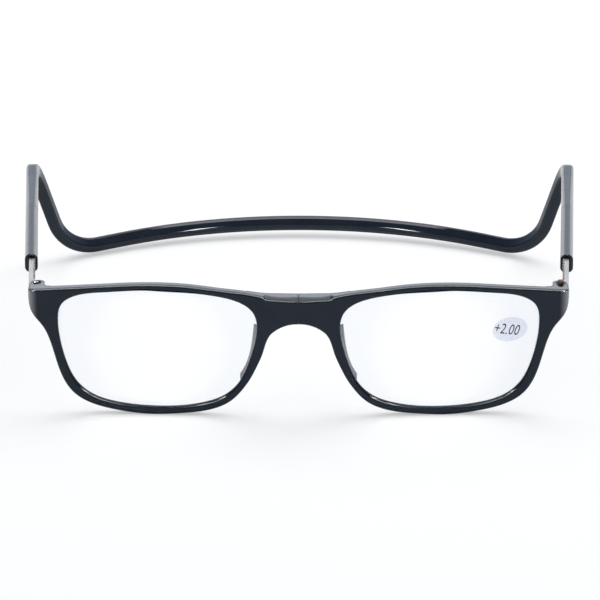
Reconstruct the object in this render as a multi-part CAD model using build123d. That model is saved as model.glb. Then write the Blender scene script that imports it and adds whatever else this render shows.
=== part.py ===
from build123d import *
import math
import os

os.makedirs("parts", exist_ok=True)

# Reading glasses whose front parts at the nose, where two magnets hold it together.
# One flexible neckband goes round the back of the neck. Its arms take two toothed
# bars, which set the length, and each half of the front turns on a hinge screw.
# All sizes are in millimetres. +Z is up, +X is the wearer's left, and the wearer
# looks towards -Y. Both sides are built as the left one, and the right is its mirror.

# Front, as seen face on
lens_width = 51.5
lens_height = 32.2
lens_gap = 21.5
rim_top = 1.55
rim_bottom = 2.0
rim_side = 2.5
endpiece_reach = 7.75
endpiece_height = 9.2
endpiece_drop = 2.1
endpiece_top_corner = 0.8
bridge_height = 6.9
bridge_drop = 3.65
bridge_rise = 1.15
bridge_flat_half = 8.4
bridge_rise_run = 3.0
nose_half_width = 7.2
nose_arch_fall = 2.85
nose_leg_run = 1.05
nose_leg_drop = 1.9
nose_corner = 1.0

# Front, as seen from above
rim_depth = 2.6
front_curve_radius = 800.0
endpiece_corner_width = 1.7
endpiece_corner_depth = 2.6
endpiece_blend = 1.8
edge_bevel = 0.3
bridge_depth = 4.8
bridge_thick_half = 3.6
bridge_thin_run = 9.9
bevel_height = 0.75
bevel_depth = 2.0
seam_gap = 0.03
seam_relief = 5.8

# Lens
lens_front_radius = 160.0
lens_back_radius = 444.0
lens_thickness = 2.4
lens_bulge = 0.95
lens_clearance = 0.05
groove_depth = 0.5
groove_width = 0.7
groove_setback = 0.95

# Moulded nose pad
pad_root = 0.6
pad_depth = 3.6
pad_flare = 1.6
pad_trim = 1.2
pad_inset = 0.35
pad_edge_bevel = 0.4

# Power sticker, on the left lens
sticker_width = 9.0
sticker_height = 6.5
sticker_thickness = 0.09
sticker_side = 18.2
sticker_rise = 5.3
sticker_tilt = 7.0

# Magnets in the bridge
magnet_diameter = 3.2
magnet_length = 2.5
magnet_clearance = 0.03

# Hinge
hinge_setback = 5.3
lug_radius = 2.1
lug_thickness = 1.3
lug_gap = 0.15
lug_pocket_clearance = 0.3
screw_diameter = 1.2
screw_clearance = 0.05
screw_head_diameter = 2.1
screw_head_height = 0.75
screw_head_bevel = 0.4
screw_slot_width = 0.3
screw_slot_depth = 0.25
counterbore_depth = 0.8
counterbore_clearance = 0.1
left_screw_lift = 1.0
right_screw_lift = 0.0

# Adjusting bar
bar_thickness = 1.15
bar_height = 3.4
bar_length = 46.0
bar_stop_length = 4.0
bar_stop_height = 3.6
tooth_height = 0.45
tooth_pitch = 2.3
tooth_first = 16.0
tooth_length = 1.1

# Neckband
arm_splay = 3.1
bar_exposed = 24.3
arm_width = 3.4
mouth_height = 4.9
mouth_corner = 1.45
band_thickness = 3.7
band_corner = 0.9
taper_gap = 2.0
taper_length = 26.0
ear_reach = 108.0
ear_radius = 9.0
dip_run = 16.9
dip_radius = 14.0
back_half_width = 52.0
back_end_depth = 130.4
back_end_height = 2.8
back_middle_depth = 143.4
back_middle_height = 3.55

# Socket in the arm, and how far the bar slides in and out of it from rest
slide_in = 18.0
slide_out = 10.0
socket_end_gap = 0.5
socket_clearance = 0.2
socket_lining = 0.02
socket_corner = 0.2

# Detent clip in the arm's mouth
clip_thickness = 0.2
clip_length = 6.0
clip_setback = 0.6
clip_clearance = 0.05

# Cuts run past the face that they open by this much
overrun = 4.0

# Places that several pieces share

lens_half_width = lens_width / 2
lens_half_height = lens_height / 2
lens_x = lens_gap / 2 + lens_half_width
lens_z = rim_bottom + lens_half_height
front_height = rim_bottom + lens_height + rim_top
front_half_width = lens_gap / 2 + lens_width + endpiece_reach
endpiece_top = front_height - endpiece_drop
bridge_top = front_height - bridge_drop
arch_top = bridge_top - bridge_height
bridge_end = bridge_flat_half + bridge_rise_run
bridge_thin_x = bridge_thick_half + bridge_thin_run
seam_half_gap = seam_gap / 2
relief_slope = math.tan(math.radians(seam_relief))
magnet_y = bridge_depth / 2
magnet_z = (bridge_top - bevel_height + arch_top) / 2


def face_y(x, depth=0.0):
    """Y on the front's curved face, or on a surface that far behind it."""
    return front_curve_radius - math.sqrt((front_curve_radius - depth) ** 2 - x**2)


hinge_x = front_half_width - lug_radius
hinge_y = face_y(hinge_x) + hinge_setback
top_lug_bottom = endpiece_top - lug_thickness
hinge_z = top_lug_bottom - lug_gap - bar_height / 2
bottom_lug_top = hinge_z - bar_height / 2 - lug_gap
bottom_lug_bottom = bottom_lug_top - lug_thickness
bar_inner_x = lug_radius - bar_thickness
bar_x = lug_radius - bar_thickness / 2
lug_inner_x = hinge_x - lug_radius
blend_x = lug_inner_x - endpiece_blend


def on_arm(shape):
    """Place a shape made in the arm's frame: y runs back along the arm from the hinge."""
    return shape.moved(Pos(hinge_x, hinge_y, hinge_z) * Rot(0, 0, -arm_splay))


def mirrored(shape):
    """The right piece, from the left one."""
    return shape.mirror(Plane.YZ)


def upright(x, z, y=0.0):
    return Vector(x, y, z)


# Outlines of the front, face on

# Shares of the lens opening's half width and half height, from its middle
opening_shares = [
    (0.04, 1.0),
    (-0.408, 0.957),
    (-0.68, 0.88),
    (-0.86, 0.775),
    (-0.965, 0.62),
    (-1.0, 0.40),
    (-0.967, 0.03),
    (-0.905, -0.28),
    (-0.815, -0.58),
    (-0.68, -0.79),
    (-0.47, -0.925),
    (-0.023, -1.0),
    (0.40, -0.945),
    (0.656, -0.82),
    (0.811, -0.615),
    (0.912, -0.30),
    (0.978, 0.10),
    (1.0, 0.50),
    (0.965, 0.72),
    (0.84, 0.865),
    (0.602, 0.94),
    (0.33, 0.985),
]

# Shares of the rim's outer half width and half height, from the lens's middle
leg_shares = [
    (-0.965, -0.05),
    (-0.915, -0.24),
    (-0.855, -0.43),
    (-0.775, -0.615),
    (-0.665, -0.79),
    (-0.49, -0.915),
    (-0.177, -0.984),
    (0.03, -1.0),
    (0.40, -0.94),
    (0.655, -0.823),
    (0.78, -0.69),
    (0.865, -0.50),
    (0.925, -0.25),
    (0.968, -0.01),
]
brow_shares = [(-0.57, 0.925), (-0.372, 0.966), (-0.1, 0.997), (0.2, 0.993), (0.55, 0.955)]

# Shares of the end piece's reach and height, from its lower inner corner
endpiece_shares = [(0.56, -0.03), (0.76, 0.175), (0.90, 0.38), (0.975, 0.62)]

# The nose arch passes this share of its half width and fall
arch_share = (0.72, 0.46)
bridge_rise_share = 0.42


def lens_face(grow=0.0):
    """The lens opening's outline as a face, grown by a margin."""
    half_width = lens_half_width + grow
    half_height = lens_half_height + grow
    points = [upright(lens_x + u * half_width, lens_z + v * half_height) for u, v in opening_shares]
    return Face(Wire([Spline(*points, periodic=True)]))


def bridge_line():
    """Points of the top of the bridge, from its end to the middle."""
    flat_rise = bridge_rise * bridge_rise_share
    return [
        upright(bridge_end, bridge_top + bridge_rise),
        upright(bridge_flat_half, bridge_top + flat_rise),
        upright(0, bridge_top),
    ]


def front_face():
    """One half of the front, face on, from the middle of the nose to the end piece."""
    rim_half_width = lens_half_width + rim_side
    lower_half = lens_half_height + rim_bottom
    upper_half = lens_half_height + rim_top
    legs = [upright(lens_x + u * rim_half_width, lens_z + v * lower_half) for u, v in leg_shares]
    brow = [upright(lens_x + u * rim_half_width, lens_z + v * upper_half) for u, v in brow_shares]
    root_x = front_half_width - endpiece_reach
    root_z = endpiece_top - endpiece_height
    sides = [upright(root_x + u * endpiece_reach, root_z + v * endpiece_height) for u, v in endpiece_shares]
    arch_middle = upright(0, arch_top)
    arch_between = upright(nose_half_width * arch_share[0], arch_top - nose_arch_fall * arch_share[1])
    arch_end = upright(nose_half_width, arch_top - nose_arch_fall)
    nose_leg = upright(nose_half_width + nose_leg_run, arch_top - nose_arch_fall - nose_leg_drop)
    side_top = upright(front_half_width, endpiece_top - endpiece_top_corner)
    corner_inset = endpiece_top_corner * (1 - math.sqrt(0.5))
    corner_middle = upright(front_half_width - corner_inset, endpiece_top - corner_inset)
    top_end = upright(front_half_width - endpiece_top_corner, endpiece_top)
    arch = ThreePointArc(arch_middle, arch_between, arch_end)
    lower = Spline(arch_end, nose_leg, *legs, *sides, side_top)
    corner = ThreePointArc(side_top, corner_middle, top_end)
    upper = Spline(top_end, *reversed(brow), *bridge_line(), tangents=[(-1, 0, 0.08), (-1, 0, 0)])
    seam = Line(upright(0, bridge_top), arch_middle)
    outline = Face(Wire([arch, lower, corner, upper, seam]))
    arch_corner = min(outline.vertices(), key=lambda vertex: (vertex.center() - arch_end).length)
    return outline.fillet_2d(nose_corner, [arch_corner])


# Plan of the front, from above


def curve_between(x_start, x_end, depth):
    """An arc that follows the front's curve, that deep behind its face."""
    x_middle = (x_start + x_end) / 2
    stations = [Vector(x, face_y(x, depth)) for x in (x_start, x_middle, x_end)]
    return ThreePointArc(*stations)


def plan_face():
    """One half of the front from above: the rim's depth, the thick bridge and the lug."""
    corner_x = front_half_width - endpiece_corner_width
    side_y = face_y(corner_x) + endpiece_corner_depth
    lug_start_y = face_y(blend_x, rim_depth) + endpiece_blend
    seam_back_x = seam_half_gap + relief_slope * bridge_depth
    face_line = curve_between(seam_half_gap, corner_x, 0)
    corner_start = face_line @ 1
    side_start = Vector(front_half_width, side_y)
    corner = Spline(corner_start, side_start, tangents=[face_line % 1, (0, 1)])
    side = Line(side_start, (front_half_width, hinge_y))
    lug = ThreePointArc(
        (front_half_width, hinge_y), (hinge_x, hinge_y + lug_radius), (lug_inner_x, hinge_y)
    )
    lug_side = Line((lug_inner_x, hinge_y), (lug_inner_x, lug_start_y))
    back_line = curve_between(blend_x, bridge_thin_x, rim_depth)
    blend = Spline((lug_inner_x, lug_start_y), back_line @ 0, tangents=[(0, -1), back_line % 0])
    taper_end = Vector(bridge_thick_half, bridge_depth)
    taper = Spline(back_line @ 1, taper_end, tangents=[back_line % 1, (-1, 0)])
    bridge_back = Line(taper_end, (seam_back_x, bridge_depth))
    seam = Line((seam_back_x, bridge_depth), face_line @ 0)
    return Face(Wire([face_line, corner, side, lug, lug_side, blend, back_line, taper, bridge_back, seam]))


def shell(near, far):
    """A slab that follows the front's curve, between two depths behind its face."""
    outer = Cylinder(front_curve_radius - near, 2 * front_height)
    inner = Cylinder(front_curve_radius - far, 2 * front_height + overrun)
    return Pos(0, front_curve_radius, front_height / 2) * (outer - inner)


def bevel_cutter():
    """The wedge that bevels the bridge's upper front edge and runs out to a point."""
    reach = overrun / bevel_depth
    sections = []
    for top in reversed(bridge_line()[1:]):
        near = Vector(top.X, -overrun, top.Z - bevel_height - reach * bevel_height)
        far = Vector(top.X, bevel_depth + overrun, top.Z + reach * bevel_height)
        above = Vector(top.X, -overrun, top.Z + overrun)
        sections.append(Face(Wire.make_polygon([near, far, above], close=True)))
    tip = bridge_line()[0]
    point = Vertex(tip.X, -overrun, tip.Z)
    return loft(sections, ruled=True) + loft([sections[-1], point], ruled=True)


# The pad follows these points of the rim's outline and of the opening, from its top down,
# and each point flares out towards the pad's back edge by a share of the flare
pad_nose_flare_shares = (1.0, 1.0, 0.85, 0.65, 0.4, 0.2)
pad_lens_flare_shares = (1.0, 0.8, 0.5, 0.2)
pad_first_point = 5


def nose_pad():
    """The moulded pad behind the nose side of the rim, flaring out towards its back edge."""
    rim_half_width = lens_half_width + rim_side
    lower_half = lens_half_height + rim_bottom
    leg = [upright(lens_x + u * rim_half_width, lens_z + v * lower_half) for u, v in leg_shares[:4]]
    arch_end = upright(nose_half_width, arch_top - nose_arch_fall)
    nose_leg = arch_end + Vector(nose_leg_run, 0, -nose_leg_drop)
    edge_shares = opening_shares[pad_first_point:][: len(pad_lens_flare_shares)]
    edge = [upright(lens_x + u * lens_half_width, lens_z + v * lens_half_height) for u, v in edge_shares]
    sections = []
    for depth, flare, trim in ((rim_depth - pad_root, 0, 0), (rim_depth + pad_depth, pad_flare, pad_trim)):
        sides = []
        for line, inset, shares in (
            ((arch_end, nose_leg, *leg), pad_inset, pad_nose_flare_shares),
            (edge, -pad_inset, pad_lens_flare_shares),
        ):
            side = [point + Vector(inset + flare * share, depth, 0) for point, share in zip(line, shares)]
            side[0] -= Vector(0, 0, trim)
            side[-1] += Vector(0, 0, trim)
            sides.append(side)
        near_nose, near_lens = sides
        edges = [
            Spline(*near_nose),
            Line(near_nose[-1], near_lens[-1]),
            Spline(*reversed(near_lens)),
            Line(near_lens[0], near_nose[0]),
        ]
        sections.append(Face(Wire(edges)))
    pad = loft(sections, ruled=True)
    back_edges = pad.faces().sort_by(Axis.Y)[-1].edges()
    return chamfer(back_edges, pad_edge_bevel)


# The pieces of one side of the front

toward_back = (0, 1, 0)
front_reach = hinge_y + lug_radius + 2 * overrun


def through_front(face):
    """Extrude an outline of the front from before its face to behind its lug."""
    return extrude(face, front_reach, dir=toward_back).moved(Pos(0, -overrun, 0))


def hinge_rod(radius, bottom, top):
    """A cylinder on the hinge axis between two heights."""
    return Pos(hinge_x, hinge_y, (bottom + top) / 2) * Cylinder(radius, top - bottom)


def lug_pocket():
    """The gap between the lugs, where the bar's eye turns."""
    radius = lug_radius + lug_pocket_clearance
    middle = (bottom_lug_top + top_lug_bottom) / 2
    height = top_lug_bottom - bottom_lug_top
    eye = Pos(hinge_x, hinge_y, middle) * Cylinder(radius, height)
    way_out = Box(2 * radius, lug_radius + overrun, height, align=(Align.CENTER, Align.MIN, Align.CENTER))
    return eye + Pos(hinge_x, hinge_y, middle) * way_out


def below_lugs():
    """The space under the lower lug, behind the rim."""
    width = endpiece_reach + overrun
    block = Box(width, front_reach, bottom_lug_bottom, align=(Align.MAX, Align.MIN, Align.MIN))
    return Pos(front_half_width + overrun, 0, 0) * block - shell(-overrun, rim_depth)


def magnet_rod(radius):
    length = magnet_length + overrun
    rod = Cylinder(radius, length, align=(Align.CENTER, Align.CENTER, Align.MAX))
    return Pos(magnet_length, magnet_y, magnet_z) * Rot(0, 90, 0) * rod


def thick_ends(outline, plan):
    """The bridge and the end piece, where they stand behind the rim."""
    deep = (outline & plan) - through_front(lens_face()) - shell(-overrun, rim_depth - edge_bevel)
    rim_room = Box(
        blend_x - bridge_thin_x,
        2 * front_reach,
        2 * front_height,
        align=(Align.MIN, Align.CENTER, Align.CENTER),
    )
    return deep - rim_room.moved(Pos(bridge_thin_x, 0, lens_z))


def make_rim(plan):
    """One half of the front: the rim, half of the bridge, a nose pad and the hinge lugs."""
    outline = through_front(front_face())
    body = (outline & shell(0, rim_depth)) - through_front(lens_face())
    edges = front_surface(body).edges() + rim_back_surface(body).edges()
    body = chamfer([edge for edge in edges if edge.center().X > edge_bevel], edge_bevel)
    body &= plan
    body += thick_ends(outline, plan)
    body -= bevel_cutter()
    body -= below_lugs()
    body -= through_front(lens_face(groove_depth)) & shell(groove_setback, groove_setback + groove_width)
    body += nose_pad()
    body -= lug_pocket()
    body -= hinge_rod(screw_diameter / 2 + screw_clearance, 0, front_height)
    counterbore_radius = screw_head_diameter / 2 + counterbore_clearance
    body -= hinge_rod(counterbore_radius, endpiece_top - counterbore_depth, front_height)
    body -= magnet_rod(magnet_diameter / 2 + magnet_clearance).moved(Pos(magnet_clearance, 0, 0))
    return body


def front_surface(body):
    return body.faces().filter_by(GeomType.CYLINDER).sort_by(SortBy.AREA)[-1]


def rim_back_surface(body):
    return body.faces().filter_by(GeomType.CYLINDER).sort_by(SortBy.AREA)[-2]


def lens_sphere(radius, depth):
    """A ball whose surface crosses the lens's axis that far behind the lens's front."""
    normal = Vector(-lens_x, front_curve_radius - face_y(lens_x), 0) / front_curve_radius
    vertex = Vector(lens_x, face_y(lens_x) - lens_bulge, lens_z)
    return Pos(vertex + normal * (depth + radius)) * Sphere(radius)


def make_lens():
    blank = through_front(lens_face(-lens_clearance))
    body = blank & lens_sphere(lens_front_radius, 0)
    body -= lens_sphere(lens_back_radius, lens_thickness)
    tongue = through_front(lens_face(groove_depth - lens_clearance))
    tongue -= through_front(lens_face(-2 * lens_clearance))
    groove_end = groove_setback + groove_width
    tongue &= shell(groove_setback + lens_clearance, groove_end - lens_clearance)
    return body + tongue


def make_sticker():
    oval = Ellipse(sticker_width / 2, sticker_height / 2, rotation=sticker_tilt)
    prism = through_front(Plane.XZ.offset(0) * oval)
    prism = prism.moved(Pos(lens_x + sticker_side, 0, lens_z + sticker_rise))
    skin = lens_sphere(lens_front_radius + sticker_thickness, -sticker_thickness)
    return prism & (skin - lens_sphere(lens_front_radius, 0))


def make_magnet(plan):
    return magnet_rod(magnet_diameter / 2) & plan


def make_screw(lift):
    """The hinge screw, with a domed and slotted head, standing that far out of its seat."""
    seat = endpiece_top - counterbore_depth
    shank = hinge_rod(screw_diameter / 2, bottom_lug_bottom, seat)
    head = hinge_rod(screw_head_diameter / 2, seat, seat + screw_head_height)
    head = chamfer(head.edges().sort_by(Axis.Z)[-1], screw_head_bevel)
    slot = Box(screw_head_diameter + overrun, screw_slot_width, 2 * screw_slot_depth)
    head -= Pos(hinge_x, hinge_y, seat + screw_head_height) * slot
    return (shank + head).moved(Pos(0, 0, lift))


# The bar, in the arm's frame: y runs back from the hinge, and x outward


def along_bar(width, length, height, x, y):
    """A block that starts at y and is centred on x and on the bar's mid height."""
    block = Box(width, length, height, align=(Align.CENTER, Align.MIN, Align.CENTER))
    return Pos(x, y, 0) * block


def tooth(y):
    """One ratchet tooth on the bar's inner face, steep towards the hinge."""
    steep = (bar_inner_x, y)
    crest = (bar_inner_x - tooth_height, y + tooth_length * crest_share)
    heel = (bar_inner_x, y + tooth_length)
    inside = (bar_x, y + tooth_length / 2)
    profile = make_face(Polyline(steep, crest, heel, inside, close=True))
    return extrude(profile, bar_height / 2, both=True)


crest_share = 0.25


def make_bar():
    strip = along_bar(bar_thickness, bar_length, bar_height, bar_x, 0)
    stop = along_bar(bar_thickness, bar_stop_length, bar_stop_height, bar_x, bar_length - bar_stop_length)
    body = strip + Cylinder(lug_radius, bar_height) + stop
    rack_length = bar_length - bar_stop_length - tooth_first
    for index in range(int(rack_length / tooth_pitch)):
        body += tooth(tooth_first + index * tooth_pitch)
    body -= Cylinder(screw_diameter / 2 + screw_clearance, bar_height + overrun)
    return on_arm(body)


# The neckband

socket_length = bar_length - bar_exposed + slide_in + socket_end_gap
socket_inner_x = bar_inner_x - tooth_height - clip_clearance - clip_thickness - socket_lining
socket_outer_x = lug_radius + socket_clearance
clip_height = bar_height + 2 * clip_clearance + 2 * clip_thickness
taper_start = bar_exposed + socket_length + taper_gap
taper_end = taper_start + taper_length


def arm_section(y, height, corner):
    section = RectangleRounded(arm_width, height, corner)
    return Plane((bar_x, y, 0), x_dir=(1, 0, 0), z_dir=(0, 1, 0)) * section


def arm_point(y):
    """The place in the object's frame of a point on the arm's axis."""
    return on_arm(Vertex(bar_x, y, 0)).center()


def band_path():
    """Half of the band's middle line, from the end of the taper to the middle of the back."""
    back_end = Vector(back_half_width, back_end_depth, back_end_height)
    back_middle = Vector(0, back_middle_depth, back_middle_height)
    back_start = Vector(-back_half_width, back_end_depth, back_end_height)
    whole_back = ThreePointArc(back_start, back_middle, back_end)
    dip_corner = back_end + (whole_back % 1) * dip_run
    side = FilletPolyline(
        arm_point(taper_end), arm_point(ear_reach), dip_corner, back_end, radius=(ear_radius, dip_radius)
    )
    half_back = ThreePointArc(back_end, whole_back @ back_share, back_middle)
    return Wire([*side.edges(), half_back])


back_share = 0.75


def bevelled_inside(block, bevel):
    """A block along the bar with its two long inner edges bevelled, to stay inside the oval arm."""
    inner_face = block.faces().sort_by(Axis.X)[0]
    return chamfer(inner_face.edges().filter_by(Axis.Y), bevel)


def make_half_band():
    mouth = arm_section(bar_exposed, mouth_height, mouth_corner)
    socket_end = arm_section(taper_start, mouth_height, mouth_corner)
    arm = loft([mouth, socket_end], ruled=True)
    arm += loft([socket_end, arm_section(taper_end, band_thickness, band_corner)], ruled=True)
    socket_width = socket_outer_x - socket_inner_x
    socket_x = (socket_outer_x + socket_inner_x) / 2
    socket_height = clip_height + 2 * socket_lining
    length = socket_length + overrun
    socket = along_bar(socket_width, length, socket_height, socket_x, bar_exposed - overrun)
    arm -= bevelled_inside(socket, socket_corner)
    section = on_arm(arm_section(taper_end, band_thickness, band_corner))
    return on_arm(arm) + sweep(section, path=band_path())


def make_clip():
    """A channel of sheet metal in the mouth, open on the outer side, that the bar clicks past."""
    inner_x = bar_inner_x - tooth_height - clip_clearance - clip_thickness
    width = socket_outer_x - clip_clearance - inner_x
    y = bar_exposed + clip_setback
    channel = bevelled_inside(along_bar(width, clip_length, clip_height, inner_x + width / 2, y), socket_corner)
    height = clip_height - 2 * clip_thickness
    channel -= along_bar(width, clip_length, height, inner_x + clip_thickness + width / 2, y)
    return on_arm(channel)


plan = extrude(plan_face(), front_height + 2 * overrun).moved(Pos(0, 0, -overrun))
rim = make_rim(plan)
lens = make_lens()
magnet = make_magnet(plan)
bar = make_bar()
clip = make_clip()
half_band = make_half_band()

pieces = {
    "neckband": half_band + mirrored(half_band),
    "power_sticker": make_sticker(),
    "left_hinge_screw": make_screw(left_screw_lift),
    "right_hinge_screw": mirrored(make_screw(right_screw_lift)),
}
for name, piece in (("rim", rim), ("lens", lens), ("magnet", magnet), ("bar", bar), ("detent_clip", clip)):
    pieces["left_" + name] = piece
    pieces["right_" + name] = mirrored(piece)

# The origin is under the middle of the whole object, on the surface it rests on
box = Compound([solid for piece in pieces.values() for solid in piece.solids()]).bounding_box()
to_origin = Pos(0, -(box.min.Y + box.max.Y) / 2, 0)
for name, piece in pieces.items():
    export_step(piece.moved(to_origin), f"parts/{name}.step")

hinge = Vector(hinge_x, hinge_y, hinge_z) + to_origin.position
print("hinge axis", hinge, "bar direction", math.sin(math.radians(arm_splay)), math.cos(math.radians(arm_splay)))
print("low and high", box.min, box.max)
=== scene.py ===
import math

import bmesh
import bpy
from mathutils import Matrix, Vector


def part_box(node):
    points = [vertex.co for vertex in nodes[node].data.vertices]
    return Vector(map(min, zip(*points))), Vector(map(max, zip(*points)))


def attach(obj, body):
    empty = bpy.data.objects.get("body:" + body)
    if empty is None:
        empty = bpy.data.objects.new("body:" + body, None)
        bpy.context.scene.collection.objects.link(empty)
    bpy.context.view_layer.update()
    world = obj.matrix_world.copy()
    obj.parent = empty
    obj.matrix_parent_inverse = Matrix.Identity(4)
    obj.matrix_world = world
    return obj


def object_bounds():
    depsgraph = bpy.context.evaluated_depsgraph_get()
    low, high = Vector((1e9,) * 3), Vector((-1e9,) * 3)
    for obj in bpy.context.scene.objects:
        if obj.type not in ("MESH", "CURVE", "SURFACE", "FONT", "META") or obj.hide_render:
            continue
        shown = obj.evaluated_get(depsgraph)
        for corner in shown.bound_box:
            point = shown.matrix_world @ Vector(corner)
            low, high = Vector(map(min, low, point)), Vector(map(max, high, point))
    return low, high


# Magnetic bridge reading glasses on a white table. Metres, +Z up, +X the wearer's left, and
# the wearer looks towards -Y. Places on a piece are those it has at rest.

MM = 0.001

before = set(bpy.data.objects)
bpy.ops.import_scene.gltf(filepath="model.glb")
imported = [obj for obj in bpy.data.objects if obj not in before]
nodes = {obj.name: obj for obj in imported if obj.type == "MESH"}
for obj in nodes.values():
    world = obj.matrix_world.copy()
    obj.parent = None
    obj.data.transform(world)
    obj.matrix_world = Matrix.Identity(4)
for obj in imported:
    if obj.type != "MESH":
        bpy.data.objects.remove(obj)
cad_low, cad_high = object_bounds()

scene = bpy.context.scene
scene.view_settings.view_transform = "Standard"


# Node helpers


def new_material(name):
    """A material with nodes, its Principled shader and its output."""
    material = bpy.data.materials.new(name)
    material.use_nodes = True
    tree = material.node_tree
    tree.nodes.clear()
    output = tree.nodes.new("ShaderNodeOutputMaterial")
    shader = tree.nodes.new("ShaderNodeBsdfPrincipled")
    tree.links.new(shader.outputs["BSDF"], output.inputs["Surface"])
    return material, tree, shader, output


def feed(tree, source, socket):
    """Give a socket a plain value, another node's output, or what a function of the tree gives."""
    if callable(source):
        source = source(tree)
    if isinstance(source, bpy.types.NodeSocket):
        tree.links.new(source, socket)
    else:
        socket.default_value = source


def calculate(tree, operation, *values):
    """The result of one sum."""
    node = tree.nodes.new("ShaderNodeMath")
    node.operation = operation
    for value, socket in zip(values, node.inputs):
        feed(tree, value, socket)
    return node.outputs["Value"]


def remap(tree, value, start, end, low, high, smooth=False):
    """Map a value from start..end to low..high and hold it there at both ends."""
    node = tree.nodes.new("ShaderNodeMapRange")
    if smooth:
        node.interpolation_type = "SMOOTHSTEP"
    sockets = ("Value", "From Min", "From Max", "To Min", "To Max")
    for name, source in zip(sockets, (value, start, end, low, high)):
        feed(tree, source, node.inputs[name])
    return node.outputs["Result"]


def axes(tree, vector):
    """The X, Y and Z of a vector."""
    apart = tree.nodes.new("ShaderNodeSeparateXYZ")
    tree.links.new(vector, apart.inputs["Vector"])
    return apart.outputs["X"], apart.outputs["Y"], apart.outputs["Z"]


def object_position(tree, stretch=(1, 1, 1)):
    """The point on the piece, stretched along the axes."""
    place = tree.nodes.new("ShaderNodeTexCoord")
    mapping = tree.nodes.new("ShaderNodeMapping")
    mapping.inputs["Scale"].default_value = stretch
    tree.links.new(place.outputs["Object"], mapping.inputs["Vector"])
    return mapping.outputs["Vector"]


def object_direction(tree):
    """The way the face looks."""
    return tree.nodes.new("ShaderNodeTexCoord").outputs["Normal"]


def noise(tree, position, scale, detail=3.0, roughness=0.5):
    """Cloudy noise from 0 to 1, with this many clouds to the metre."""
    texture = tree.nodes.new("ShaderNodeTexNoise")
    texture.inputs["Scale"].default_value = scale
    texture.inputs["Detail"].default_value = detail
    texture.inputs["Roughness"].default_value = roughness
    tree.links.new(position, texture.inputs["Vector"])
    return texture.outputs["Fac"]


def ramp(tree, value, places, colours):
    """A colour ramp with a colour at each of some places from 0 to 1."""
    node = tree.nodes.new("ShaderNodeValToRGB")
    elements = node.color_ramp.elements
    while len(elements) < len(colours):
        elements.new(0.5)
    for element, place, colour in zip(elements, places, colours):
        element.position = place
        element.color = (*colour, 1.0)
    tree.links.new(value, node.inputs["Fac"])
    return node.outputs["Color"]


EDGE_SAMPLES = 16


def rounded_edges(tree, radius):
    """A normal that rounds the edges."""
    rounding = tree.nodes.new("ShaderNodeBevel")
    rounding.samples = EDGE_SAMPLES
    feed(tree, radius, rounding.inputs["Radius"])
    return rounding.outputs["Normal"]


def bump(tree, height, distance, strength, normal):
    """A normal with relief on top of another normal."""
    node = tree.nodes.new("ShaderNodeBump")
    node.inputs["Strength"].default_value = strength
    node.inputs["Distance"].default_value = distance
    tree.links.new(height, node.inputs["Height"])
    tree.links.new(normal, node.inputs["Normal"])
    return node.outputs["Normal"]


def mixed_shaders(tree, share, first, second):
    """The first shader where the share is 0, the second where it is 1."""
    mix = tree.nodes.new("ShaderNodeMixShader")
    tree.links.new(share, mix.inputs["Fac"])
    tree.links.new(first, mix.inputs[1])
    tree.links.new(second, mix.inputs[2])
    return mix.outputs["Shader"]


def ray_is(tree, kind):
    """1 for light rays of one kind, and 0 for others."""
    return tree.nodes.new("ShaderNodeLightPath").outputs[f"Is {kind} Ray"]


def seen_directly(tree):
    """1 where this itself is in the picture or seen through a lens, and 0 for its light."""
    return calculate(tree, "MAXIMUM", ray_is(tree, "Camera"), ray_is(tree, "Transmission"))


# The front's plastic. Its edges look rounded, but for the sharp ones next to the seam. Its two
# ends wrap round to mirror more of the room: how much in the middle and at the ends, from
# where to where, and by how much upward lean of a face that effect is gone

FRONT_EDGE_RADIUS = 1.1 * MM
SEAM_CRISP_HALF = 0.5 * MM
FRONT_SPECULAR = (0.24, 3.1)
FRONT_END = (67.3 * MM, 70.4 * MM)
UPRIGHT_TILT = (0.2, 0.6)


def crisp_seam(tree, normal):
    """The same normal, but the face's own one next to the seam."""
    across, _, _ = axes(tree, object_position(tree))
    away = calculate(tree, "ABSOLUTE", across)
    mix = tree.nodes.new("ShaderNodeMix")
    mix.data_type = "VECTOR"
    share = remap(tree, away, SEAM_CRISP_HALF, 2 * SEAM_CRISP_HALF, 0.0, 1.0)
    tree.links.new(share, mix.inputs["Factor"])
    face = tree.nodes.new("ShaderNodeNewGeometry")
    tree.links.new(face.outputs["Normal"], mix.inputs["A"])
    tree.links.new(normal, mix.inputs["B"])
    return mix.outputs["Result"]


def shinier_ends(tree):
    """How much the front mirrors: more towards its two ends, on the faces that stand upright."""
    across, _, _ = axes(tree, object_position(tree))
    away = calculate(tree, "ABSOLUTE", across)
    upright_level = remap(tree, away, *FRONT_END, *FRONT_SPECULAR, smooth=True)
    _, _, up = axes(tree, object_direction(tree))
    tilt = calculate(tree, "ABSOLUTE", up)
    return remap(tree, tilt, *UPRIGHT_TILT, upright_level, FRONT_SPECULAR[0])


# The band's plastic: how its edges go over from the arms' radius to the back's along Y, where
# each straight arm's middle runs in plan, and how far the arm's top looks rounded

ARM_EDGE_RADIUS = 0.9 * MM
BACK_EDGE_RADIUS = 0.35 * MM
BACK_START = (46 * MM, 56 * MM)
ARM_SPLAY_SLOPE = math.tan(math.radians(3.1))
ARM_START = (69.425 * MM, -64.441 * MM)
ARM_HALF_WIDTH = 1.9 * MM
ARM_CROWN = 0.36 * MM
ARM_END = (36 * MM, 46 * MM)

# The band's back: its upper edge sinks to each side of the middle, by this much times the
# square of the way, and along it a strip between two heights looks flat on top, fading out
# towards the dips

BACK_FALL = 0.269
BACK_STRIP = (5.12 * MM, 5.57 * MM)
BACK_STRIP_DEPTH = 0.82 * MM
BACK_STRIP_END = (33 * MM, 43 * MM)


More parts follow.
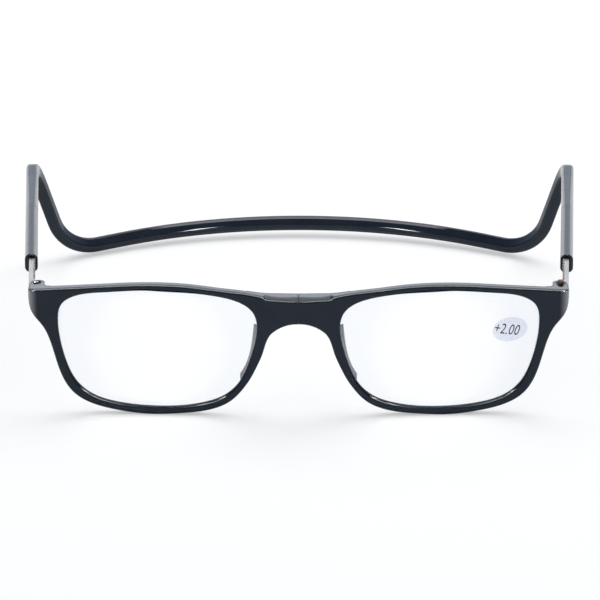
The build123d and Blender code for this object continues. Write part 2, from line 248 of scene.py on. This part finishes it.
def band_edge_radius(tree):
    _, along, _ = axes(tree, object_position(tree))
    return remap(tree, along, *BACK_START, ARM_EDGE_RADIUS, BACK_EDGE_RADIUS)


def crowned_arms(tree, normal):
    """A normal that makes the flat tops of both arms look like those of round rods."""
    across, along, _ = axes(tree, object_position(tree))
    away = calculate(tree, "ABSOLUTE", across)
    start = ARM_START[0] - ARM_SPLAY_SLOPE * ARM_START[1]
    middle = calculate(tree, "MULTIPLY_ADD", along, ARM_SPLAY_SLOPE, start)
    off_middle = calculate(tree, "SUBTRACT", away, middle)
    turn = remap(tree, off_middle, -ARM_HALF_WIDTH, ARM_HALF_WIDTH, -math.pi, math.pi)
    crown = calculate(tree, "COSINE", turn)
    fade = remap(tree, along, *ARM_END, 1.0, 0.0)
    return bump(tree, calculate(tree, "MULTIPLY", crown, fade), ARM_CROWN, 1.0, normal)


def flat_topped_back(tree, normal):
    """A normal that gives the back of the band a narrow top that faces up."""
    across, _, up = axes(tree, object_position(tree))
    square = calculate(tree, "MULTIPLY", across, across)
    level = calculate(tree, "MULTIPLY_ADD", square, BACK_FALL, up)
    strip = remap(tree, level, *BACK_STRIP, 0.0, -1.0)
    away = calculate(tree, "ABSOLUTE", across)
    fade = remap(tree, away, *BACK_STRIP_END, 1.0, 0.0)
    return bump(tree, calculate(tree, "MULTIPLY", strip, fade), BACK_STRIP_DEPTH, 1.0, normal)


# Both plastics: how many clouds, worn patches and ripples there are to the metre

CLOUD_SCALE = 180.0
CLOUD_STOPS = (0.3, 0.7)
WEAR_SCALE = 900.0
RIPPLE_SCALE = 260.0
RIPPLE_HEIGHT = 0.05 * MM
RIPPLE_STRENGTH = 0.25
PLASTIC_ROUGHNESS = (0.04, 0.09)


def moulded_plastic(name, dark, light, specular, edge_radius, reliefs):
    """Polished dark plastic: faint cloudiness, fine ripple and slightly rounded edges."""
    material, tree, shader, _ = new_material(name)
    position = object_position(tree)
    cloud = noise(tree, position, CLOUD_SCALE)
    feed(tree, ramp(tree, cloud, CLOUD_STOPS, (dark, light)), shader.inputs["Base Color"])
    wear = noise(tree, position, WEAR_SCALE, detail=5.0)
    feed(tree, remap(tree, wear, 0.0, 1.0, *PLASTIC_ROUGHNESS), shader.inputs["Roughness"])
    feed(tree, specular, shader.inputs["Specular IOR Level"])
    normal = rounded_edges(tree, edge_radius)
    for relief in reliefs:
        normal = relief(tree, normal)
    ripple = noise(tree, position, RIPPLE_SCALE, detail=2.0)
    normal = bump(tree, ripple, RIPPLE_HEIGHT, RIPPLE_STRENGTH, normal)
    feed(tree, normal, shader.inputs["Normal"])
    return material


# The metals: how many grains and patches there are to the metre, and how deep they look

GRAIN_SCALE = 3500.0
GRAIN_STOPS = (0.25, 0.75)
GRAIN_HEIGHT = 0.01 * MM
GRAIN_STRENGTH = 0.3
STEEL_EDGE_RADIUS = 0.1 * MM
PATCH_SCALE = 1400.0
PATCH_STOPS = (0.35, 0.5, 0.68)
PATCH_HEIGHT = 0.03 * MM
PATCH_STRENGTH = 0.4
SCREW_EDGE_RADIUS = 0.3 * MM
SCREW_ROUGHNESS = (0.28, 0.5)


def drawn_steel(name, dark, light, roughness, stretch):
    """Steel with fine marks drawn out along the piece, bright or darkened as painted shade."""
    material, tree, shader, _ = new_material(name)
    shader.inputs["Metallic"].default_value = 1.0
    grain = noise(tree, object_position(tree, stretch), GRAIN_SCALE, detail=4.0)
    feed(tree, ramp(tree, grain, GRAIN_STOPS, (dark, light)), shader.inputs["Base Color"])
    feed(tree, remap(tree, grain, 0.0, 1.0, *roughness), shader.inputs["Roughness"])
    normal = rounded_edges(tree, STEEL_EDGE_RADIUS)
    feed(tree, bump(tree, grain, GRAIN_HEIGHT, GRAIN_STRENGTH, normal), shader.inputs["Normal"])
    return material


def screw_metal(name, colours, metallic, specular):
    """A small screw's dull metal, with patches of three colours in it, or near black as painted
    shade.
    """
    material, tree, shader, _ = new_material(name)
    shader.inputs["Metallic"].default_value = metallic
    shader.inputs["Specular IOR Level"].default_value = specular
    patches = noise(tree, object_position(tree), PATCH_SCALE, detail=5.0, roughness=0.6)
    feed(tree, ramp(tree, patches, PATCH_STOPS, colours), shader.inputs["Base Color"])
    feed(tree, remap(tree, patches, 0.0, 1.0, *SCREW_ROUGHNESS), shader.inputs["Roughness"])
    normal = rounded_edges(tree, SCREW_EDGE_RADIUS)
    feed(tree, bump(tree, patches, PATCH_HEIGHT, PATCH_STRENGTH, normal), shader.inputs["Normal"])
    return material


# The lenses: their painted shade next to the rim and their own faint tint in the open, where
# between the two it changes, and from how far the rim shades them

LENS_INDEX = 1.49
LENS_TINT_AND_SHADE = ((0.86, 0.88, 0.92), (1.0, 0.998, 0.996))
LENS_STOPS = (0.5, 0.9)
LENS_SHADE_REACH = 2.2 * MM
LENS_SHADE_SAMPLES = 8
LENS_SHADOW = (0.97, 0.98, 0.99, 1.0)
LENS_SMEAR_SCALE = 120.0
LENS_ROUGHNESS = (0.0, 0.012)
GROUND_EDGE = (0.02, 0.024, 0.03, 1.0)
GROUND_EDGE_FACING = 0.6


def clear_lens(name):
    """Clear lens plastic with a dark ground edge, that lets light through to the table."""
    material, tree, shader, output = new_material(name)
    # Painted shade: the lens colour darkens where the rim is close, by ambient occlusion
    shade = tree.nodes.new("ShaderNodeAmbientOcclusion")
    shade.samples = LENS_SHADE_SAMPLES
    shade.inputs["Distance"].default_value = LENS_SHADE_REACH
    tint_and_shade = ramp(tree, shade.outputs["AO"], LENS_STOPS, LENS_TINT_AND_SHADE)
    tree.links.new(tint_and_shade, shader.inputs["Base Color"])
    shader.inputs["Transmission Weight"].default_value = 1.0
    shader.inputs["IOR"].default_value = LENS_INDEX
    smear = noise(tree, object_position(tree), LENS_SMEAR_SCALE, detail=2.0)
    feed(tree, remap(tree, smear, 0.0, 1.0, *LENS_ROUGHNESS), shader.inputs["Roughness"])
    ground = tree.nodes.new("ShaderNodeBsdfDiffuse")
    ground.inputs["Color"].default_value = GROUND_EDGE
    _, forwards, _ = axes(tree, object_direction(tree))
    is_edge = calculate(
        tree, "LESS_THAN", calculate(tree, "ABSOLUTE", forwards), GROUND_EDGE_FACING
    )
    edged = mixed_shaders(tree, is_edge, shader.outputs["BSDF"], ground.outputs["BSDF"])
    open_way = tree.nodes.new("ShaderNodeBsdfTransparent")
    open_way.inputs["Color"].default_value = LENS_SHADOW
    lens = mixed_shaders(tree, ray_is(tree, "Shadow"), edged, open_way.outputs["BSDF"])
    tree.links.new(lens, output.inputs["Surface"])
    return material


# The sticker's film and its ink

FIBRE_STOPS = (0.3, 0.7)
FILM_COLOURS = ((0.70, 0.75, 0.96), (0.74, 0.79, 0.98))
FILM_ALPHA = 0.22
FILM_SCALE = 700.0
FILM_ROUGHNESS = (0.35, 0.5)
INK_COLOURS = ((0.03, 0.035, 0.05), (0.06, 0.07, 0.09))
INK_SCALE = 5000.0
INK_ROUGHNESS = 0.6


def printed_film(name):
    """The sticker's thin lavender film, which the table shows through."""
    material, tree, shader, _ = new_material(name)
    fibre = noise(tree, object_position(tree), FILM_SCALE, detail=2.0)
    feed(tree, ramp(tree, fibre, FIBRE_STOPS, FILM_COLOURS), shader.inputs["Base Color"])
    feed(tree, remap(tree, fibre, 0.0, 1.0, *FILM_ROUGHNESS), shader.inputs["Roughness"])
    shader.inputs["Alpha"].default_value = FILM_ALPHA
    return material


def printing_ink(name):
    material, tree, shader, _ = new_material(name)
    grain = noise(tree, object_position(tree), INK_SCALE)
    feed(tree, ramp(tree, grain, FIBRE_STOPS, INK_COLOURS), shader.inputs["Base Color"])
    shader.inputs["Roughness"].default_value = INK_ROUGHNESS
    return material


# What each piece is made of


def dress(material, *names):
    """Give CAD nodes a material in place of their plain one."""
    for name in names:
        slots = nodes[name].data.materials
        slots.clear()
        slots.append(material)


front_plastic = moulded_plastic(
    "front_plastic", dark=(0.004, 0.010, 0.020), light=(0.006, 0.013, 0.025),
    specular=shinier_ends, edge_radius=FRONT_EDGE_RADIUS, reliefs=(crisp_seam,),
)
band_plastic = moulded_plastic(
    "band_plastic", dark=(0.009, 0.014, 0.024), light=(0.013, 0.019, 0.030),
    specular=0.24, edge_radius=band_edge_radius, reliefs=(crowned_arms, flat_topped_back),
)
bar_steel = drawn_steel(
    "bar_steel", dark=(0.32, 0.29, 0.26), light=(0.46, 0.42, 0.38),
    roughness=(0.2, 0.32), stretch=(1.0, 0.05, 1.0),
)
# Painted shade: the clip's steel is coloured dark for the shade it sits in, deep in the arm's
# mouth
spring_steel = drawn_steel(
    "spring_steel", dark=(0.10, 0.10, 0.11), light=(0.16, 0.16, 0.17),
    roughness=(0.3, 0.45), stretch=(1.0, 0.1, 1.0),
)
nickel = drawn_steel(
    "nickel", dark=(0.55, 0.55, 0.55), light=(0.70, 0.70, 0.69),
    roughness=(0.1, 0.2), stretch=(1.0, 1.0, 1.0),
)
bronze = screw_metal(
    "screw_metal",
    colours=((0.05, 0.035, 0.03), (0.22, 0.14, 0.10), (0.34, 0.07, 0.04)),
    metallic=0.75, specular=0.5,
)
# Painted shade: this screw sits low in its counterbore, so it is coloured near black with almost
# no shine for the shade of that hole
screw_hole_shade = screw_metal(
    "screw_hole_painted_shade",
    colours=((0.002, 0.002, 0.002), (0.004, 0.004, 0.004), (0.008, 0.007, 0.006)),
    metallic=0.0, specular=0.02,
)

dress(front_plastic, "left_rim", "right_rim")
dress(band_plastic, "neckband")
dress(bar_steel, "left_bar", "right_bar")
dress(spring_steel, "left_detent_clip", "right_detent_clip")
dress(nickel, "left_magnet", "right_magnet")
dress(bronze, "left_hinge_screw")
dress(screw_hole_shade, "right_hinge_screw")
dress(clear_lens("lens"), "left_lens", "right_lens")
dress(printed_film("sticker_film"), "power_sticker")


# The lens power printed on the sticker

DIGIT_HEIGHT = 2.9 * MM
DIGIT_SHARE_OF_SIZE = 0.73
DIGIT_SPACING = 1.05
DIGIT_NARROWING = 0.70
DIGIT_SLANT = 0.22
DIGIT_TILT = math.radians(-9.0)
DIGIT_SHIFT = -1.0 * MM
INK_LIFT = 0.015 * MM
INK_EDGE = 0.4 * MM
INK_CUTS = 3


def mesh_of(name, data):
    """The mesh of a text or curve, which is then deleted."""
    source = bpy.data.objects.new(name, data)
    scene.collection.objects.link(source)
    bpy.context.view_layer.update()
    mesh = bpy.data.meshes.new_from_object(source)
    bpy.data.objects.remove(source)
    mesh.name = name
    return mesh


def add_piece(name, mesh, material):
    piece = bpy.data.objects.new(name, mesh)
    scene.collection.objects.link(piece)
    piece.data.materials.append(material)
    return piece


def lay_on(piece, target, lift):
    """Move each vertex along Y until it lies just in front of the target."""
    for vertex in piece.data.vertices:
        start = Vector((vertex.co.x, cad_low.y - MM, vertex.co.z))
        hit, point, _, _ = target.ray_cast(start, Vector((0, 1, 0)))
        if hit:
            vertex.co.y = point.y - lift


def make_power_print():
    text = bpy.data.curves.new("power_text", "FONT")
    text.body = "+2.00"
    text.align_x = "CENTER"
    text.align_y = "CENTER"
    text.size = DIGIT_HEIGHT / DIGIT_SHARE_OF_SIZE
    text.shear = DIGIT_SLANT
    text.space_character = DIGIT_SPACING
    mesh = mesh_of("power_print", text)
    low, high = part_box("power_sticker")
    centre = (low + high) / 2
    upright = Matrix.Rotation(math.radians(90), 4, "X")
    tilt = Matrix.Rotation(-DIGIT_TILT, 4, "Y")
    narrow = Matrix.Diagonal((DIGIT_NARROWING, 1, 1, 1))
    place = Matrix.Translation(Vector((centre.x + DIGIT_SHIFT, low.y, centre.z)))
    mesh.transform(place @ tilt @ upright @ narrow)
    grid = bmesh.new()
    grid.from_mesh(mesh)
    bmesh.ops.triangulate(grid, faces=grid.faces)
    for _ in range(INK_CUTS):
        long_edges = [edge for edge in grid.edges if edge.calc_length() > INK_EDGE]
        bmesh.ops.subdivide_edges(grid, edges=long_edges, cuts=1)
    grid.to_mesh(mesh)
    grid.free()
    piece = add_piece("power_print", mesh, printing_ink("printing_ink"))
    lay_on(piece, nodes["power_sticker"], INK_LIFT)
    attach(piece, "left_front")


make_power_print()


# The flat faces that meet at the nose: the solids lean back from the seam so that the halves
# can swing past each other, and these fill that wedge, round each magnet's hole

SEAM_HALF_GAP = 0.003 * MM
RELIEF_START = 0.015 * MM
RELIEF_SLOPE = math.tan(math.radians(5.8))
SEAM_INSET = 0.01 * MM
BRIDGE_TOP = 32.1 * MM
BRIDGE_BOTTOM = 25.2 * MM
BRIDGE_DEPTH = 4.8 * MM
BEVEL_HEIGHT = 0.75 * MM
BEVEL_DEPTH = 2.0 * MM
MAGNET_RADIUS = 1.63 * MM
HOLE_SIDES = 40
WELD = 0.0005 * MM


def closed_line(curve, points):
    line = curve.splines.new("POLY")
    line.points.add(len(points) - 1)
    for point, (x, y) in zip(line.points, points):
        point.co = (x, y, 0, 1)
    line.use_cyclic_u = True


def seam_outline(curve):
    """The bridge's end in depth and height, with its bevel and the magnet's hole."""
    near, far = SEAM_INSET, BRIDGE_DEPTH - SEAM_INSET
    bottom, top = BRIDGE_BOTTOM + SEAM_INSET, BRIDGE_TOP - SEAM_INSET
    bevel = [(BEVEL_DEPTH, top), (near, top - BEVEL_HEIGHT)]
    closed_line(curve, [(near, bottom), (far, bottom), (far, top), *bevel])
    hole_depth = BRIDGE_DEPTH / 2
    hole_height = (BRIDGE_TOP - BEVEL_HEIGHT + BRIDGE_BOTTOM) / 2
    turns = [2 * math.pi * index / HOLE_SIDES for index in range(HOLE_SIDES)]
    closed_line(curve, [
        (hole_depth + MAGNET_RADIUS * math.cos(turn), hole_height + MAGNET_RADIUS * math.sin(turn))
        for turn in turns
    ])


def make_seam_face(name, side, body):
    """A thin wedge on the end of one half of the bridge."""
    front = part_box("left_rim")[0].y
    curve = bpy.data.curves.new(name, "CURVE")
    curve.dimensions = "2D"
    curve.fill_mode = "BOTH"
    curve.extrude = MM
    seam_outline(curve)
    mesh = mesh_of(name, curve)
    for vertex in mesh.vertices:
        depth, height, end = vertex.co
        reach = SEAM_HALF_GAP if end < 0 else RELIEF_START + RELIEF_SLOPE * depth
        vertex.co = (side * reach, front + depth, height)
    grid = bmesh.new()
    grid.from_mesh(mesh)
    bmesh.ops.remove_doubles(grid, verts=grid.verts, dist=WELD)
    bmesh.ops.recalc_face_normals(grid, faces=grid.faces)
    grid.to_mesh(mesh)
    grid.free()
    piece = add_piece(name, mesh, front_plastic)
    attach(piece, body)


make_seam_face("left_seam_face", 1, "left_front")
make_seam_face("right_seam_face", -1, "right_front")


# The table. It is partly plain white to the camera, so its shadows come out softer

TABLE_SIZE = 6.0
TABLE_COLOUR = (0.95, 0.955, 0.96, 1.0)
TABLE_ROUGHNESS = 0.9
TABLE_WHITE_SHARE = 0.4


def make_table():
    bpy.ops.mesh.primitive_plane_add(size=TABLE_SIZE, location=(0, 0, 0))
    table = bpy.context.object
    table.name = "table"
    material, tree, shader, output = new_material("table")
    shader.inputs["Base Color"].default_value = TABLE_COLOUR
    shader.inputs["Roughness"].default_value = TABLE_ROUGHNESS
    shader.inputs["Specular IOR Level"].default_value = 0.0
    white = tree.nodes.new("ShaderNodeEmission")
    share = calculate(tree, "MULTIPLY", seen_directly(tree), TABLE_WHITE_SHARE)
    top = mixed_shaders(tree, share, shader.outputs["BSDF"], white.outputs["Emission"])
    tree.links.new(top, output.inputs["Surface"])
    table.data.materials.append(material)


# The room: the light it gives, what the picture shows of it, and what shiny things mirror,
# which is dimmer above and on the camera's side

ROOM_LIGHT = ((0.93, 0.96, 1.0, 1.0), 0.6)
ROOM_SEEN = ((0.97, 0.985, 1.0, 1.0), 1.0)
ROOM_MIRRORED_COLOUR = (0.72, 0.83, 1.0, 1.0)
ROOM_MIRRORED = (0.3, 1.0)
ROOM_MIRRORED_SPAN = (-0.1, 0.7)


def background(tree, colour, strength):
    node = tree.nodes.new("ShaderNodeBackground")
    node.inputs["Color"].default_value = colour
    feed(tree, strength, node.inputs["Strength"])
    return node.outputs["Background"]


def make_room():
    world = bpy.data.worlds.new("studio")
    scene.world = world
    world.use_nodes = True
    tree = world.node_tree
    tree.nodes.clear()
    direction = tree.nodes.new("ShaderNodeTexCoord").outputs["Generated"]
    _, backwards, _ = axes(tree, direction)
    level = remap(tree, backwards, *ROOM_MIRRORED_SPAN, *ROOM_MIRRORED, smooth=True)
    mirrored = background(tree, ROOM_MIRRORED_COLOUR, level)
    soft = background(tree, *ROOM_LIGHT)
    unseen = mixed_shaders(tree, ray_is(tree, "Glossy"), soft, mirrored)
    plain = background(tree, *ROOM_SEEN)
    room = mixed_shaders(tree, seen_directly(tree), unseen, plain)
    output = tree.nodes.new("ShaderNodeOutputWorld")
    tree.links.new(room, output.inputs["Surface"])


# The lamps, all aimed at the glasses


def make_softbox(name, place, size, power, shines_on=None):
    """A soft light. One that names what it shines on is only seen there, as a highlight."""
    light = bpy.data.lights.new(name, "AREA")
    light.shape = "RECTANGLE"
    light.size, light.size_y = size
    light.energy = power
    lamp = bpy.data.objects.new(name, light)
    scene.collection.objects.link(lamp)
    lamp.location = place
    lamp.rotation_euler = (-lamp.location).to_track_quat("-Z", "Y").to_euler()
    lamp.visible_camera = False
    if shines_on:
        lit = bpy.data.collections.new(name)
        for piece in shines_on:
            lit.objects.link(nodes[piece])
        lamp.light_linking.receiver_collection = lit
        lamp.visible_diffuse = False


# The camera: its distance from the middle of the front's lower edge, its height above level,
# how far round it stands, how many pixels a metre takes at that distance, and where the middle
# of that edge is in the frame

CAMERA_DISTANCE = 1.2
CAMERA_ELEVATION = math.radians(20.0)
CAMERA_AZIMUTH = math.radians(-0.2)
CAMERA_REACH = (0.05, 20.0)
SENSOR_WIDTH = 36.0
FRAME_PIXELS = 600
PIXELS_PER_METRE = 3847.0
AIM_PIXEL = (298.5, 415.8)


def make_camera():
    forward = Vector((
        math.sin(CAMERA_AZIMUTH) * math.cos(CAMERA_ELEVATION),
        math.cos(CAMERA_AZIMUTH) * math.cos(CAMERA_ELEVATION),
        -math.sin(CAMERA_ELEVATION),
    ))
    right = Vector((math.cos(CAMERA_AZIMUTH), -math.sin(CAMERA_AZIMUTH), 0))
    up = right.cross(forward)
    front = Vector((0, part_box("left_rim")[0].y, 0))
    across = (FRAME_PIXELS / 2 - AIM_PIXEL[0]) / PIXELS_PER_METRE
    above = (AIM_PIXEL[1] - FRAME_PIXELS / 2) / PIXELS_PER_METRE
    data = bpy.data.cameras.new("camera")
    data.sensor_width = SENSOR_WIDTH
    data.lens = SENSOR_WIDTH * CAMERA_DISTANCE * PIXELS_PER_METRE / FRAME_PIXELS
    data.clip_start, data.clip_end = CAMERA_REACH
    camera = bpy.data.objects.new("camera", data)
    scene.collection.objects.link(camera)
    camera.location = front - forward * CAMERA_DISTANCE + right * across + up * above
    camera.rotation_euler = forward.to_track_quat("-Z", "Y").to_euler()
    scene.camera = camera


RIMS = ("left_rim", "right_rim")

make_table()
make_room()
make_softbox("key_light", place=(0.25, 0.75, 1.35), size=(1.6, 1.4), power=18.5)
make_softbox("back_light", place=(0.2, 1.7, 0.75), size=(2.4, 0.9), power=2.5)
make_softbox("rear_light", place=(0, 2.0, 0.73), size=(2.4, 0.5), power=5.0, shines_on=RIMS)
make_softbox("top_light", place=(0, -0.7, 1.3), size=(1.3, 0.7), power=70.0, shines_on=RIMS)
for side_name, side in (("left", 1), ("right", -1)):
    make_softbox(
        side_name + "_light", place=(side * 0.7, -1.1, 1.0), size=(0.14, 0.9), power=25.0,
        shines_on=("neckband", *RIMS),
    )
    make_softbox(
        side_name + "_glint", place=(side * 1.2, -0.5, 1.3), size=(0.3, 0.3), power=40.0,
        shines_on=RIMS,
    )
make_camera()
